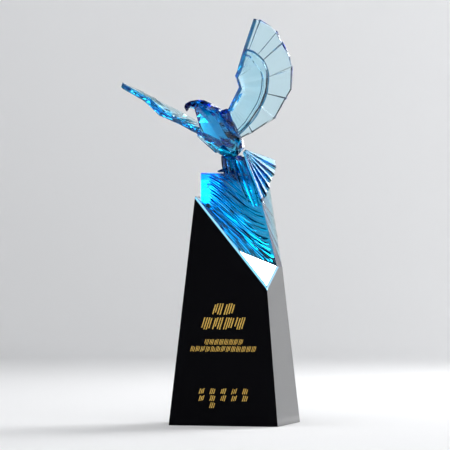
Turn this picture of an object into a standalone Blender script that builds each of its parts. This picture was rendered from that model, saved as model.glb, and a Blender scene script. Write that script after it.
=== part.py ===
# Eagle trophy: a black glass plinth cut off slantwise, a carved blue glass rock on the cut,
# and a faceted blue glass eagle with raised wings and a fanned tail standing on the rock.
# Lengths below are millimetres and angles are degrees; makeSolid turns them into metres.
# The part stands at the origin on its underside, +Z up, the inscribed face toward -Y.
# The eagle and the rock are laid out in a frame turned about Z by EAGLE_TURN:
# u runs to the right, v away from the front, w up.
import math

import bmesh
import bpy
import numpy as np

MM = 0.001
GAP = 0.3

# Plinth
BASE_WIDTH = 105.0
BASE_DEPTH = 86.6
LEAN_X = 0.0983
LEAN_Y = 0.0721
TIP_HEIGHT = 214.3
FRONT_CORNER_HEIGHT = 128.9
SIDE_HEIGHT = 148.2
SIDE_Y = 11.7
TOP_BEVEL = 2.3
SIDE_BEVEL = 1.2

# Rock
EAGLE_TURN = 15.3
ROCK_TOP = 236.0
ROCK_SETBACK = 6.0
ROCK_TOP_RIGHT = 18.7
ROCK_BACK_RIGHT = (31.4, 28.0)
ROCK_BACK_LEAN = 1.5
STREAMS = 19
STREAM_STEPS = 12
STREAM_DEPTH = 2.2
STREAM_SIDE_SHARE = 0.7
STREAM_SPREAD = 0.75
STREAM_CALM = 10.5
STREAM_WANDER = 0.6
BACK_STREAMS = 6
BACK_STREAM_DEPTH = 1.0
CUT_REACH = 60.0
# Height of the rock top at which the numbers of the eagle below were measured; the whole
# eagle moves with the rock top
MEASURED_TOP = 236.0
COLUMN_RISE = 26.0
COLUMN_FLUTES = 14
COLUMN_ROOT = 31.0
STAND_HEIGHT = 13.6
COLUMN_LEVELS = 9
FLUTE_DEPTH = 0.2

# Eagle body: beak tip first; each row is the back side (u, w), the chest side (u, w),
# the depth v of the middle and the half depth
BODY = (
    (-45.9, 294.0, -44.9, 293.8, -19.0, 0.8),
    (-47.8, 297.6, -43.2, 296.2, -18.5, 2.2),
    (-46.6, 301.2, -41.6, 297.4, -18.0, 3.8),
    (-42.0, 303.7, -39.5, 296.9, -17.0, 6.0),
    (-36.3, 304.8, -38.3, 296.1, -15.5, 8.0),
    (-29.2, 304.7, -37.4, 293.2, -13.5, 9.0),
    (-21.7, 301.3, -36.0, 289.1, -11.5, 10.6),
    (-13.2, 296.6, -34.6, 284.0, -9.0, 12.2),
    (-5.9, 291.5, -32.9, 277.2, -6.0, 13.0),
    (0.9, 282.1, -29.1, 267.9, -2.5, 13.0),
    (7.5, 271.0, -21.1, 259.1, 1.0, 11.8),
    (9.3, 261.7, -11.6, 253.1, 4.0, 9.2),
    (5.2, 255.2, -3.8, 248.8, 6.0, 5.6),
)
# Where each cross-section turns from chest to flank and from flank to crown, as a share of
# the half width toward the back, and how far its crown facet bulges
BODY_STRIP = (-0.7, -0.7, -0.7, -0.7, -0.65, -0.2, -0.24, -0.18, -0.15, -0.17, -0.28, -0.3, -0.3)
BODY_BROW = (-0.2, -0.2, -0.2, -0.2, -0.2, 0.0, 0.12, 0.34, 0.38, 0.42, 0.42, 0.42, 0.42)
CROWN_BULGE = (0.62, 0.72)
# The rest of the cross-section: share of the half width toward the back, share of the half
# depth away from the front
BODY_RING = ((1.0, -0.2), (0.86, 0.5), (0.2, 1.0), (-0.6, 0.9), (-1.0, 0.05))
SHOULDER_THICK = 7.6

# Wings: one row per feather edge from the leading edge to the root; span and chord of
# its start, of the covert border and of its tip, then 1 where two feathers meet
WING_PLAN = (
    (57.0, -9.6, 81.1, -7.9, 111.7, -4.2, 0),
    (55.0, -10.2, 79.7, -3.4, 110.9, 1.2, 1),
    (54.0, -10.4, 78.0, 1.8, 104.7, 13.6, 0),
    (53.0, -10.6, 74.9, 6.4, 99.1, 21.2, 1),
    (51.7, -10.9, 69.3, 13.3, 87.9, 29.1, 1),
    (48.6, -9.0, 60.2, 19.2, 73.7, 40.0, 0),
    (45.7, -7.4, 51.3, 22.4, 62.4, 45.3, 1),
    (42.6, -5.8, 42.2, 23.4, 37.6, 49.8, 0),
    (39.7, -4.3, 33.6, 24.0, 28.4, 46.4, 1),
    (31.0, -6.7, 20.7, 21.3, 6.8, 39.2, 1),
    (22.0, -9.2, 0.7, 12.5, -8.1, 19.0, 1),
    (16.0, -10.9, -11.0, 3.2, -15.7, 5.7, 0),
)
COVERT_HALF = 3.1
FEATHER_HALF = 1.7
TIP_HALF = 0.9
ROOT_HALF = 3.3
FEATHER_TILT = 0.45
FEATHER_STEP = 0.6
NEAR_WING = ((0.9, -8.0, 281.7), (0.187, -0.514, 0.84), (0.912, 0.409, 0.047), 0.0, 0.0, 1.8)
FAR_WING = ((-16.8, 6.0, 270.0), (-0.86, 0.375, 0.35), (0.41, 0.91, 0.02), -0.0013, 3.2, 2.5)
NEAR_HEEL = (4.5, 1.0, 262.5)
FAR_HEEL = (-18.6, 8.0, 256.2)

# Tail fan
TAIL_PIVOT = (6.8, -6.0, 259.2)
TAIL_FIRST = (0.317, -0.25, -0.915)
TAIL_LAST = (0.775, 0.588, -0.23)
TAIL_BLADES = 6
TAIL_LONGEST = 56.0
TAIL_SHORTEST = 40.5
TAIL_SHORTER = 5.3
TAIL_START = 2.5
TAIL_HALF = 1.5
TAIL_TILT = 0.9

TURN = math.radians(EAGLE_TURN)


def clearScene():
    for item in list(bpy.data.objects):
        bpy.data.objects.remove(item, do_unlink=True)


def makeMaterial(name, colour, roughness):
    material = bpy.data.materials.new(name)
    material.use_nodes = True
    shader = material.node_tree.nodes["Principled BSDF"]
    shader.inputs["Base Color"].default_value = (*colour, 1.0)
    shader.inputs["Roughness"].default_value = roughness
    shader.inputs["Metallic"].default_value = 0.0
    return material


def unit(vector):
    vector = np.asarray(vector, float)
    return vector / np.linalg.norm(vector)


def turned(points):
    # From the turned frame (u, v, w) to the part's own (x, y, z)
    points = np.asarray(points, float)
    u, v, w = points[..., 0], points[..., 1], points[..., 2]
    x = u * math.cos(TURN) - v * math.sin(TURN)
    y = u * math.sin(TURN) + v * math.cos(TURN)
    return np.stack([x, y, w], axis=-1)


def straightened(point):
    # From the part's own (x, y, z) to the turned frame
    x, y, z = point
    return np.array([
        x * math.cos(TURN) + y * math.sin(TURN),
        -x * math.sin(TURN) + y * math.cos(TURN),
        z,
    ])


def makeSolid(name, points, faces, material=None):
    # One closed flat-faced body from points in millimetres in the part's own frame
    mesh = bpy.data.meshes.new(name)
    mesh.from_pydata((np.asarray(points, float) * MM).tolist(), [], faces)
    shape = bmesh.new()
    shape.from_mesh(mesh)
    bmesh.ops.triangulate(shape, faces=shape.faces[:])
    bmesh.ops.recalc_face_normals(shape, faces=shape.faces[:])
    shape.to_mesh(mesh)
    shape.free()
    item = bpy.data.objects.new(name, mesh)
    bpy.context.scene.collection.objects.link(item)
    if material is None:
        item.hide_render = True
        item.display_type = "WIRE"
    else:
        mesh.materials.append(material)
    return item


def combine(item, other, operation):
    step = item.modifiers.new(other.name, "BOOLEAN")
    step.operation = operation
    step.solver = "EXACT"
    step.use_self = False
    step.object = other
    return item


def planeThrough(a, b, c, inside):
    # Outward unit normal and offset of the plane through three points
    normal = unit(np.cross(np.subtract(b, a), np.subtract(c, a)))
    if normal @ (np.asarray(inside, float) - a) > 0.0:
        normal = -normal
    return normal, float(normal @ np.asarray(a, float))


def convexFromPlanes(planes):
    # Corners where three planes meet inside all others, then one face per plane
    corners = []
    count = len(planes)
    for i in range(count):
        for j in range(i + 1, count):
            for k in range(j + 1, count):
                rows = np.array([planes[i][0], planes[j][0], planes[k][0]])
                if abs(np.linalg.det(rows)) < 1e-6:
                    continue
                spot = np.linalg.solve(rows, [planes[i][1], planes[j][1], planes[k][1]])
                if all(normal @ spot <= offset + 1e-6 for normal, offset in planes):
                    if all(np.linalg.norm(spot - other) > 1e-5 for other in corners):
                        corners.append(spot)
    faces = []
    for normal, offset in planes:
        ring = [n for n, spot in enumerate(corners) if abs(normal @ spot - offset) < 1e-5]
        middle = np.mean([corners[n] for n in ring], axis=0)
        side = unit(np.cross(normal, (0.31, 0.77, 0.56)))
        other = np.cross(normal, side)
        ring.sort(key=lambda n: math.atan2((corners[n] - middle) @ other, (corners[n] - middle) @ side))
        faces.append(ring)
    return corners, faces


def plinthCorner(height, right=True, front=True):
    x = BASE_WIDTH / 2 - LEAN_X * height
    y = BASE_DEPTH / 2 - LEAN_Y * height
    return np.array([x if right else -x, -y if front else y, height])


def plinthTopPlanes():
    # The slanted joint under the rock, and the polished corner facet in front of it
    tip = plinthCorner(TIP_HEIGHT, right=False)
    near = plinthCorner(FRONT_CORNER_HEIGHT)
    side = np.array([plinthCorner(SIDE_HEIGHT)[0], SIDE_Y, SIDE_HEIGHT])
    back = side + (0.0, 20.0, 0.0)
    joint = planeThrough(tip, side, back, (0, 0, 0))
    facet = planeThrough(tip, near, side, (0, 0, 0))
    return joint, facet


def bevelPlane(first, second, corner, width):
    # Cuts the edge of two planes back by the given face width
    normal = unit(first[0] + second[0])
    half = math.acos(max(-1.0, min(1.0, float(first[0] @ second[0])))) / 2
    return normal, float(normal @ corner) - width / 2 * math.sin(half) * 2


def makePlinth(material):
    joint, facet = plinthTopPlanes()
    lean_x, lean_y = unit((1, 0, LEAN_X)), unit((0, 1, LEAN_Y))
    sides = []
    for sign in (1, -1):
        normal = lean_x * (sign, 1, 1)
        sides.append((normal, float(normal @ (sign * BASE_WIDTH / 2, 0, 0))))
        normal = lean_y * (1, sign, 1)
        sides.append((normal, float(normal @ (0, sign * BASE_DEPTH / 2, 0))))
    right, front = sides[0], sides[3]
    near = plinthCorner(FRONT_CORNER_HEIGHT)
    planes = [(np.array([0.0, 0.0, -1.0]), 0.0), *sides, joint, facet]
    planes.append(bevelPlane(front, facet, near, TOP_BEVEL))
    planes.append(bevelPlane(right, facet, near, SIDE_BEVEL))
    points, faces = convexFromPlanes(planes)
    return makeSolid("plinth", points, faces, material)


def jointHeight(x, y):
    normal, offset = plinthTopPlanes()[0]
    return (offset - normal[0] * x - normal[1] * y) / normal[2]


def rockCorners():
    # Bottom and top corners of the rock in the turned frame, front left first,
    # going round by front right, back right and back left
    tip = plinthCorner(TIP_HEIGHT, right=False)
    side = plinthCorner(SIDE_HEIGHT)[0]
    left = tip[0] + 0.8 * ROCK_SETBACK
    plan = [
        (left, tip[1] + 0.6 * ROCK_SETBACK),
        (side - 0.2, SIDE_Y + 0.2),
        (side - 0.2, SIDE_Y + 20.0),
        (left, -tip[1] - 2.0),
    ]
    bottom = np.array([straightened((x, y, jointHeight(x, y) + GAP)) for x, y in plan])
    share = (ROCK_TOP_RIGHT - bottom[0][0]) / (bottom[1][0] - bottom[0][0])
    top = np.array([
        (bottom[0][0], bottom[0][1], ROCK_TOP),
        (ROCK_TOP_RIGHT, bottom[0][1] + (bottom[1][1] - bottom[0][1]) * share, ROCK_TOP),
        (*ROCK_BACK_RIGHT, ROCK_TOP),
        (bottom[3][0] + ROCK_BACK_LEAN, bottom[3][1] - ROCK_BACK_LEAN, ROCK_TOP),
    ])
    return bottom, top


def streamPatch(low_start, low_end, top_start, top_end, inward, streams, depth):
    # Grid of flow lines over one tall face: each line leaves the L-shaped edge made of the
    # start side and the top, bends down and ends on the other side, the lower ones falling
    # early and the upper ones late; every second line is pressed inward past a calm margin,
    # so that the face carries a row of long curved grooves, broader toward the foot
    lines = 2 * streams
    reached = [streams * (k / lines) ** STREAM_SPREAD for k in range(lines + 1)]
    corner = min(range(1, lines), key=lambda k: abs(reached[k] - STREAM_SIDE_SHARE * streams))
    up = (top_start - low_start) / (top_start - low_start)[2]
    rows = []
    for k in range(lines + 1):
        share = reached[k] / streams
        if k <= corner:
            start = low_start + (top_start - low_start) * reached[k] / reached[corner]
        else:
            along = (reached[k] - reached[corner]) / (streams - reached[corner])
            start = top_start + (top_end - top_start) * along
        end = low_end + (top_end - low_end) * 0.92 * share
        calm = STREAM_CALM / np.linalg.norm(end - start) if k <= corner else 0.0
        blend = min(1.0, 1.4 * share)
        line = []
        for n in range(STREAM_STEPS + 1):
            t = n / STREAM_STEPS
            sag = (1 - blend) * (1 - (1 - t) ** 1.5) + blend * t * t * (3 - 2 * t)
            drop = min(1.0, 3 * share) * (sag - t) * (end[2] - start[2])
            wander = math.sin(9.0 * t + 0.45 * k) * math.sin(math.pi * t) * math.sin(math.pi * share)
            spot = start + (end - start) * t + up * (drop + STREAM_WANDER * wander)
            if k % 2 == 0 and 0 < k < lines and t > calm and 0 < n < STREAM_STEPS:
                spot = spot + inward * depth * (0.62 + 0.38 * math.sin(6.0 * t + 1.15 * k))
            line.append(spot)
        rows.append(line)
    return np.array(rows), corner


def makeRock(material):
    bottom, top = rockCorners()
    slide = unit(bottom[2] - bottom[1])
    front, front_corner = streamPatch(
        bottom[0], bottom[1], top[0], top[1], slide, STREAMS, STREAM_DEPTH)
    back, back_corner = streamPatch(
        bottom[3], bottom[2], top[3], top[2], -slide, BACK_STREAMS, BACK_STREAM_DEPTH)
    points = [*front.reshape(-1, 3), *back.reshape(-1, 3)]
    width = STREAM_STEPS + 1
    shift = front.shape[0] * width
    faces = []
    front_last, back_last = front.shape[0] - 1, back.shape[0] - 1
    for offset, rows in ((0, front_last), (shift, back_last)):
        for k in range(rows):
            for n in range(STREAM_STEPS):
                a = offset + k * width + n
                faces.append([a, a + 1, a + 1 + width, a + width])

    def edge(offset, rows, column):
        return [offset + k * width + column for k in rows]

    left_front = edge(0, range(front_corner + 1), 0)
    left_back = edge(shift, range(back_corner + 1), 0)
    top_front = edge(0, range(front_corner, front_last + 1), 0)
    top_back = edge(shift, range(back_corner, back_last + 1), 0)
    right_front = edge(0, range(front_last + 1), STREAM_STEPS)
    right_back = edge(shift, range(back_last + 1), STREAM_STEPS)
    last_front = list(range(front_last * width, front_last * width + width))
    last_back = list(range(shift + back_last * width, shift + back_last * width + width))
    faces.append(left_front + left_back[::-1])
    faces.append(top_front + top_back[::-1])
    faces.append(right_front + last_front[::-1][1:] + last_back[:-1] + right_back[::-1])
    faces.append(list(range(width)) + list(range(shift, shift + width))[::-1])
    rock = makeSolid("rock", turned(points), faces, material)
    combine(rock, makeColumn(), "UNION")
    combine(rock, makeToes(), "UNION")
    return rock


def makeColumn():
    # Fluted leg column that swells and leans down into the rock; every second corner of
    # its sections is pressed in
    rings = []
    corners = 2 * COLUMN_FLUTES
    for level in range(COLUMN_LEVELS):
        share = level / (COLUMN_LEVELS - 1)
        w = ROCK_TOP - COLUMN_ROOT + (COLUMN_RISE + COLUMN_ROOT) * share
        low = 1 - share
        swell = math.sin(math.pi * low)
        ahead = math.sin(math.pi / 2 * min(1.0, 1.8 * low))
        middle = np.array([-2.6 + 21.0 * low ** 1.3, 0.5 + 4.0 * ahead])
        half = np.array([9.6 + 6.0 * swell, 9.4 + 3.8 * swell])
        ring = []
        for n in range(corners):
            angle = 2 * math.pi * (n + 0.6 * share) / corners
            press = 1 - (FLUTE_DEPTH * (1.0 - 0.3 * share) if n % 2 else 0.0)
            spot = middle + half * press * (math.cos(angle), math.sin(angle))
            ring.append((*spot, w))
        rings.append(ring)
    points, faces = loft(np.array(rings))
    return makeSolid("column_tool", turned(points), faces)


def makeToes():
    # Three talons reaching from the foot of the column over the top of the rock
    points, faces = [], []
    for n in range(3):
        v = -2.5 + 5.5 * n
        reach = 13.5 - 1.2 * abs(n - 1)
        rings = []
        for share, half in ((0.0, 2.1), (0.55, 1.7), (1.0, 0.5)):
            u = -3.0 - reach * share
            w = ROCK_TOP + 3.6 - 1.2 * share + 2.4 * share * (1 - share)
            rings.append([
                (u, v + half * math.cos(a), w + 1.3 * half * math.sin(a))
                for a in np.arange(6) * math.pi / 3
            ])
        more, sides = loft(np.array(rings))
        faces += [[index + len(points) for index in side] for side in sides]
        points += list(more)
    return makeSolid("toe_tool", turned(points), faces)


def loft(rings):
    # Closed body through a stack of equal rings
    count, size = rings.shape[:2]
    faces = []
    for i in range(count - 1):
        for j in range(size):
            a, b = i * size + j, i * size + (j + 1) % size
            faces.append([a, b, b + size, a + size])
    faces.append(list(range(size))[::-1])
    faces.append([(count - 1) * size + j for j in range(size)])
    return rings.reshape(-1, 3), faces


def wingFrame(wing):
    root, span, chord, bend, rise, slab = wing
    span = unit(span)
    chord = np.asarray(chord, float)
    chord = unit(chord - (chord @ span) * span)
    return np.asarray(root, float), span, chord, np.cross(span, chord)


def onWing(wing, s, c, h):
    # The lift grows with the square of the span; the leading edge of the outer third rises
    root, span, chord, normal = wingFrame(wing)
    bend, rise = wing[3:5]
    outer = math.sin(math.pi * min(1.0, max(0.0, (s - 62.0) / 42.0)))
    front = min(1.0, max(0.0, (6.0 - c) / 12.0))
    lift = h + bend * s * abs(s) - rise * outer * front
    return root + s * span + c * chord + lift * normal


def makeWing(name, wing, material):
    # Columns run from the wrist over the covert border to the feather tips; where two
    # feathers meet the column is doubled, and the feathers lie like shingles
    columns = []
    last = len(WING_PLAN) - 1
    slab = wing[5]
    for n, (s0, c0, s1, c1, s2, c2, meet) in enumerate(WING_PLAN):
        start, border, tip = np.array([s0, c0]), np.array([s1, c1]), np.array([s2, c2])
        inner, outer = unit(border - start), unit(tip - border)
        length = np.linalg.norm(border - start)
        rim = n == 0
        root = n == last
        for side in ((-1, 1) if meet else (0,)):
            across = np.array([outer[1], -outer[0]]) * (-side) * 0.25
            tilt = FEATHER_TILT * side
            step = FEATHER_STEP * side
            crown = COVERT_HALF + (0.35 if n % 2 else -0.05)
            column = [
                (start, slab, 0.0),
                (start + inner * 0.2 * length, 0.93 * crown, 0.0),
                (start + inner * 0.62 * length, crown, 0.0),
                (border - inner * 0.6, COVERT_HALF, 0.0),
                (border + outer * 0.6 + across * 0.5, FEATHER_HALF, 0.6 * tilt),
                (tip - outer * 3.2 + across, FEATHER_HALF, tilt),
                (tip + outer * step + across, TIP_HALF, tilt),
            ]
            if rim:
                column = [(spot, slab, 0.0) for spot, half, raised in column]
            if root:
                column = [(spot, ROOT_HALF, 0.0) for spot, half, raised in column]
            columns.append(column)
    points, faces = [], []
    rows = len(columns[0])
    for sign in (1, -1):
        for column in columns:
            for spot, half, raised in column:
                points.append(onWing(wing, spot[0], spot[1], sign * half + raised))
    below = len(columns) * rows
    for i in range(len(columns) - 1):
        for j in range(rows - 1):
            a = i * rows + j
            ring = [a, a + 1, a + 1 + rows, a + rows]
            faces += [ring, [index + below for index in ring[::-1]]]
    rim = [j for j in range(rows)]
    rim += [i * rows + rows - 1 for i in range(1, len(columns))]
    rim += [(len(columns) - 1) * rows + j for j in range(rows - 2, -1, -1)]
    rim += [i * rows for i in range(len(columns) - 2, 0, -1)]
    for a, b in zip(rim, rim[1:] + rim[:1]):
        faces.append([a, b, b + below, a + below])
    return makeSolid(name, turned(points), faces, material)


def rootSeat(wing):
    # Middle of the wing root, its direction along the root, and the way out of the body
    root, span, chord, normal = wingFrame(wing)
    s0, c0 = WING_PLAN[-1][:2]
    s1, c1 = WING_PLAN[-1][4:6]
    first, second = root + s0 * span + c0 * chord, root + s1 * span + c1 * chord
    along = unit(second - first)
    out = np.cross(along, normal)
    if out @ (span + chord) < 0:
        out = -out
    return (first + second) / 2, along, out, normal, np.linalg.norm(second - first) / 2


def boxAt(middle, along, out, normal, half, near, far, thick):
    spots = []
    for a in (-half, half):
        for o in (near, far):
            for h in (-thick / 2, thick / 2):
                spots.append(middle + a * along + o * out + h * normal)
    faces = [[0, 1, 3, 2], [4, 5, 7, 6], [0, 1, 5, 4], [2, 3, 7, 6], [0, 2, 6, 4], [1, 3, 7, 5]]
    return spots, faces


def makeShoulder(name, wing, heel):
    # Block between the wing root and the middle of the body, drawn down to the heel
    middle, along, out, normal, half = rootSeat(wing)
    core = [np.array([(a + c) / 2, v, (b + d) / 2]) for a, b, c, d, v, depth in BODY[7:10]]
    ring = [middle + a * along - GAP * out + h * normal
            for a in (-half, half) for h in (-SHOULDER_THICK / 2, SHOULDER_THICK / 2)]
    ring += [spot + h * normal for spot in (core[0], core[-1]) for h in (-3.0, 3.0)]
    ring += [np.array(heel), np.array(heel) + (1.5, 1.5, 1.5)]
    shape = bmesh.new()
    for spot in turned(ring):
        shape.verts.new(spot)
    bmesh.ops.convex_hull(shape, input=shape.verts[:])
    shape.verts.index_update()
    points = [tuple(v.co) for v in shape.verts if v.link_faces]
    order = {v.index: n for n, v in enumerate([v for v in shape.verts if v.link_faces])}
    faces = [[order[v.index] for v in face.verts] for face in shape.faces]
    shape.free()
    return makeSolid(name, points, faces)


def makeBody(material):
    rings = []
    for n, (back_u, back_w, chest_u, chest_w, v, depth) in enumerate(BODY):
        middle = np.array([(back_u + chest_u) / 2, v, (back_w + chest_w) / 2])
        half = np.array([(back_u - chest_u) / 2, 0.0, (back_w - chest_w) / 2])
        ring = ((BODY_STRIP[n], -1.0), (BODY_BROW[n], -0.97), (0.76, -CROWN_BULGE[n % 2]), *BODY_RING)
        rings.append([middle + half * a + np.array([0.0, depth * b, 0.0]) for a, b in ring])
    points, faces = loft(np.array(rings))
    body = makeSolid("eagle_body", turned(points), faces, material)
    pairs = (("near", NEAR_WING, NEAR_HEEL), ("far", FAR_WING, FAR_HEEL))
    for name, wing, heel in pairs:
        combine(body, makeShoulder(name + "_shoulder_tool", wing, heel), "UNION")
    for name, wing, heel in pairs:
        middle, along, out, normal, half = rootSeat(wing)
        spots, sides = boxAt(middle, along, out, normal, half + 0.9, -GAP, CUT_REACH, 2 * ROOT_HALF + 1.6)
        combine(body, makeSolid(name + "_seat_tool", turned(spots), sides), "DIFFERENCE")
    return body


def tailFrame():
    first, last = unit(TAIL_FIRST), unit(TAIL_LAST)
    normal = unit(np.cross(first, last))
    side = np.cross(normal, first)
    spread = math.acos(float(first @ last))
    middle = unit(first + last)
    return np.array(TAIL_PIVOT), first, side, normal, spread, middle


def makeTail(material):
    # Blades of a fan, each tilted so that its back edge lies under the next blade
    pivot, first, side, normal, spread, middle = tailFrame()
    columns = []
    for k in range(TAIL_BLADES):
        for end in (0, 1):
            angle = spread * (0.125 * k + 0.0083 * k * k + (0.1 + 0.013 * k) * end)
            way = first * math.cos(angle) + side * math.sin(angle)
            start = (TAIL_START + GAP) / (way @ middle)
            length = max(TAIL_SHORTEST, TAIL_LONGEST - TAIL_SHORTER * k - 4.0 * end)
            tilt = TAIL_TILT * (1 - 2 * end)
            columns.append([
                (start, 0.25 * tilt, 0.8 * TAIL_HALF),
                (length - 3.0, tilt, TAIL_HALF),
                (length, tilt, 0.7 * TAIL_HALF),
                way,
            ])
    points, faces = [], []
    for sign in (1, -1):
        for column in columns:
            for reach, raised, half in column[:3]:
                points.append(pivot + column[3] * reach + normal * (raised + sign * half))
    rows, below = 3, 3 * len(columns)
    for i in range(len(columns) - 1):
        for j in range(rows - 1):
            a = i * rows + j
            ring = [a, a + 1, a + 1 + rows, a + rows]
            faces += [ring, [index + below for index in ring[::-1]]]
    rim = [j for j in range(rows)]
    rim += [i * rows + rows - 1 for i in range(1, len(columns))]
    rim += [(len(columns) - 1) * rows + j for j in range(rows - 2, -1, -1)]
    rim += [i * rows for i in range(len(columns) - 2, 0, -1)]
    for a, b in zip(rim, rim[1:] + rim[:1]):
        faces.append([a, b, b + below, a + below])
    return makeSolid("tail", turned(points), faces, material)


def wallBox(name, spot, out, reach):
    # Large box whose near face passes through the spot, on the side the arrow points to
    out = unit(out)
    along = unit(np.cross(out, (0.2, 0.9, 0.3)))
    normal = np.cross(out, along)
    spots, sides = boxAt(np.asarray(spot, float), along, out, normal, reach, 0.0, reach, 2 * reach)
    return makeSolid(name, turned(spots), sides)


def main():
    clearScene()
    black = makeMaterial("black_glass", (0.012, 0.012, 0.014), 0.04)
    blue = makeMaterial("blue_glass", (0.02, 0.30, 0.72), 0.03)
    pale = makeMaterial("pale_blue_glass", (0.45, 0.72, 0.88), 0.03)
    makePlinth(black)
    rock = makeRock(blue)
    ground = set(bpy.data.objects)
    body = makeBody(blue)
    makeWing("wing_near", NEAR_WING, pale)
    makeWing("wing_far", FAR_WING, pale)
    makeTail(pale)
    pivot, first, side, normal, spread, middle = tailFrame()
    # The body ends flat where the tail starts and where it stands on the column
    combine(body, wallBox("tail_root_tool", pivot + middle * TAIL_START, middle, CUT_REACH),
            "DIFFERENCE")
    foot, up = np.array([-1.9, -4.0, MEASURED_TOP + STAND_HEIGHT]), unit((0.1, -0.35, 1.0))
    combine(body, wallBox("foot_tool", foot + up * GAP, -up, CUT_REACH), "DIFFERENCE")
    crop = wallBox("crop_tool", foot, up, CUT_REACH)
    combine(rock, crop, "DIFFERENCE")
    for item in set(bpy.data.objects) - ground:
        item.location.z = (ROCK_TOP - MEASURED_TOP) * MM


main()
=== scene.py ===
import contextlib
import functools
import itertools
import math

import bmesh
import bpy
import numpy as np
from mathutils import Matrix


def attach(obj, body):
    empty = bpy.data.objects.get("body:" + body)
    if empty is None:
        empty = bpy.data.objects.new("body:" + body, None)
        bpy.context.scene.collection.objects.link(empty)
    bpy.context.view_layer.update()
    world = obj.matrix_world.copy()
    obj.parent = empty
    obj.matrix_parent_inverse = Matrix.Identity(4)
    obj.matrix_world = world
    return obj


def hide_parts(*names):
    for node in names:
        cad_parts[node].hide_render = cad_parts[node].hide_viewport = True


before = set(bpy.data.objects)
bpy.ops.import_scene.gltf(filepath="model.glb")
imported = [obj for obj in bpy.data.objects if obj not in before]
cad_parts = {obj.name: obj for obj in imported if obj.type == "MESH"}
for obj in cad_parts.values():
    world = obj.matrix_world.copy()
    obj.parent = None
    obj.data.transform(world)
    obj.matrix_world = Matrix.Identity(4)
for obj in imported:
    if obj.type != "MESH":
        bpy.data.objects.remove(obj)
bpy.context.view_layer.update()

# Lengths below are millimetres and angles are degrees; addMesh turns them into metres.
# The eagle and the rock are laid out in a frame turned about Z: u right, v away, w up.
layout = {"turn": 15.3, "unit": 0.001, "gap": 0.3, "weld": 2e-6}
turnAngle = math.radians(layout["turn"])


# Small helpers for vectors, frames and meshes
def unit(vector):
    # The vector over its own length
    vector = np.asarray(vector, float)
    return vector / np.linalg.norm(vector)


def turned(points, angle=turnAngle):
    # From (u, v, w) to (x, y, z): a plain turn about Z, and back with the angle the other way
    u, v, w = np.moveaxis(np.asarray(points, float), -1, 0)
    x = u * math.cos(angle) - v * math.sin(angle)
    y = u * math.sin(angle) + v * math.cos(angle)
    return np.stack([x, y, w], axis=-1)


def linkObject(name, data):
    # A new object at the origin that shows this mesh, light or camera
    item = bpy.data.objects.new(name, data)
    bpy.context.scene.collection.objects.link(item)
    return item


@contextlib.contextmanager
def welded(mesh, reach=layout["weld"]):
    # The mesh laid open for work with its close vertices joined, and put back afterwards
    shape = bmesh.new()
    shape.from_mesh(mesh)
    bmesh.ops.remove_doubles(shape, verts=shape.verts[:], dist=reach)
    yield shape
    shape.to_mesh(mesh)
    shape.free()


def addMesh(name, points, faces):
    # A mesh object at the origin from points in millimetres, faces turned outward
    mesh = bpy.data.meshes.new(name)
    mesh.from_pydata((np.asarray(points, float) * layout["unit"]).tolist(), [], faces)
    with welded(mesh, 1e-7) as shape:
        bmesh.ops.recalc_face_normals(shape, faces=shape.faces[:])
    return linkObject(name, mesh)


def combine(item, tool, operation):
    # Union or difference with a helper solid that is thrown away afterwards
    step = item.modifiers.new("combine", "BOOLEAN")
    step.operation = operation
    step.solver = "EXACT"
    step.object = tool
    bakeModifiers(item)
    bpy.data.objects.remove(tool, do_unlink=True)


def bakeModifiers(item):
    # The evaluated mesh takes the place of the mesh and its modifiers
    view = bpy.context.evaluated_depsgraph_get()
    view.update()
    mesh = bpy.data.meshes.new_from_object(item.evaluated_get(view))
    item.modifiers.clear()
    item.data = mesh


def mergeFlats(item, degrees):
    # Joins the coplanar slivers that the cuts leave
    with welded(item.data) as shape:
        bmesh.ops.dissolve_limit(shape, angle_limit=math.radians(degrees),
                                 verts=shape.verts[:], edges=shape.edges[:])
        bmesh.ops.recalc_face_normals(shape, faces=shape.faces[:])


def dropSlivers(item):
    # Bakes the bevels and takes out the edges and faces without size that they leave
    bakeModifiers(item)
    with welded(item.data) as shape:
        bmesh.ops.dissolve_degenerate(shape, dist=layout["weld"], edges=shape.edges[:])


def addBevel(item, width, degrees):
    # Breaks every edge sharper than the angle with a narrow double bevel
    bevel = item.modifiers.new("bevel", "BEVEL")
    bevel.width = width * layout["unit"]
    bevel.segments = 2
    bevel.limit_method = "ANGLE"
    bevel.angle_limit = math.radians(degrees)


def gridFaces(rows, columns, offset=0, closed=False):
    # Quads of a grid of points stored row by row; closed joins the last column to the first
    row = np.arange(rows - 1)[:, None]
    last = columns if closed else columns - 1
    column = np.arange(last)[None, :]
    nextColumn = (column + 1) % columns
    a = row * columns + column
    b = row * columns + nextColumn
    quads = np.stack([a, b, b + columns, a + columns], axis=-1).reshape(-1, 4) + offset
    return quads.tolist()


def tubeMesh(rings):
    # Closed body through a stack of equal rings of shape (rings, points, 3)
    count, size = rings.shape[:2]
    faces = gridFaces(count, size, closed=True)
    faces.append(list(range(size))[::-1])
    faces.append([(count - 1) * size + j for j in range(size)])
    return rings.reshape(-1, 3), faces


def plateMesh(top, bottom):
    # Closed plate between two equal grids of shape (columns, rows, 3)
    columns, rows = top.shape[:2]
    below = columns * rows
    faces = gridFaces(columns, rows) + [f[::-1] for f in gridFaces(columns, rows, below)]
    rim = list(range(rows))
    rim += [i * rows + rows - 1 for i in range(1, columns)]
    rim += [(columns - 1) * rows + j for j in range(rows - 2, -1, -1)]
    rim += [i * rows for i in range(columns - 2, 0, -1)]
    faces += [[a, b, b + below, a + below] for a, b in zip(rim, rim[1:] + rim[:1])]
    return np.concatenate([top.reshape(-1, 3), bottom.reshape(-1, 3)]), faces


# Shader nodes and the node groups that the finishes share
polishing = {"grain": 260.0, "lift": 0.0006}


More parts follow.
